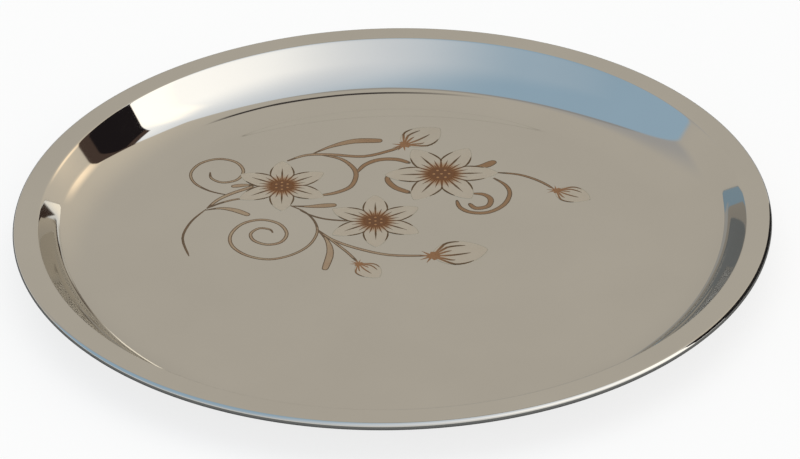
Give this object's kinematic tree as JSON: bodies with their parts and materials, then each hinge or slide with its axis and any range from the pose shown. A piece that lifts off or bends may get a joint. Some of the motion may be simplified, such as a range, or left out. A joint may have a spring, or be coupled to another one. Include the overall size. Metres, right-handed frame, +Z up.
{
  "type": "thali plate",
  "caption": "Round pressed steel thali plate with a flat floor, coved sloping wall, flat rim and rolled bead edge, marked on the floor with a brown flowering vine.",
  "frame": {"origin": "middle of the face that the plate rests on, under the centre of its floor", "axes": "+Z up along the plate's axis and out of its well, +X to the right and +Y away from the viewer of the picture"},
  "size_m": [0.3, 0.3, 0.0199],
  "materials": {
    "polished_steel": "mirror polished stainless steel",
    "pale_marking": "frosted, barely lighter than the steel",
    "brown_marking": "satin brown marking",
    "buff_marking": "satin tan marking"
  },
  "bodies": {
    "root": {"plate": "polished_steel", "petals_left": "pale_marking", "petals_middle": "pale_marking", "petals_right": "pale_marking", "star_left": "brown_marking", "star_middle": "brown_marking", "star_right": "brown_marking", "bud_petals": "pale_marking", "bud_top": "brown_marking", "bud_right": "brown_marking", "bud_lower": "brown_marking", "bud_small": "brown_marking", "stem_lines": "brown_marking", "stem_fill": "buff_marking", "tendril_lines": "brown_marking", "tendril_fill": "buff_marking", "leaf_lines": "brown_marking", "leaf_fill": "buff_marking"}
  },
  "joints": []
}
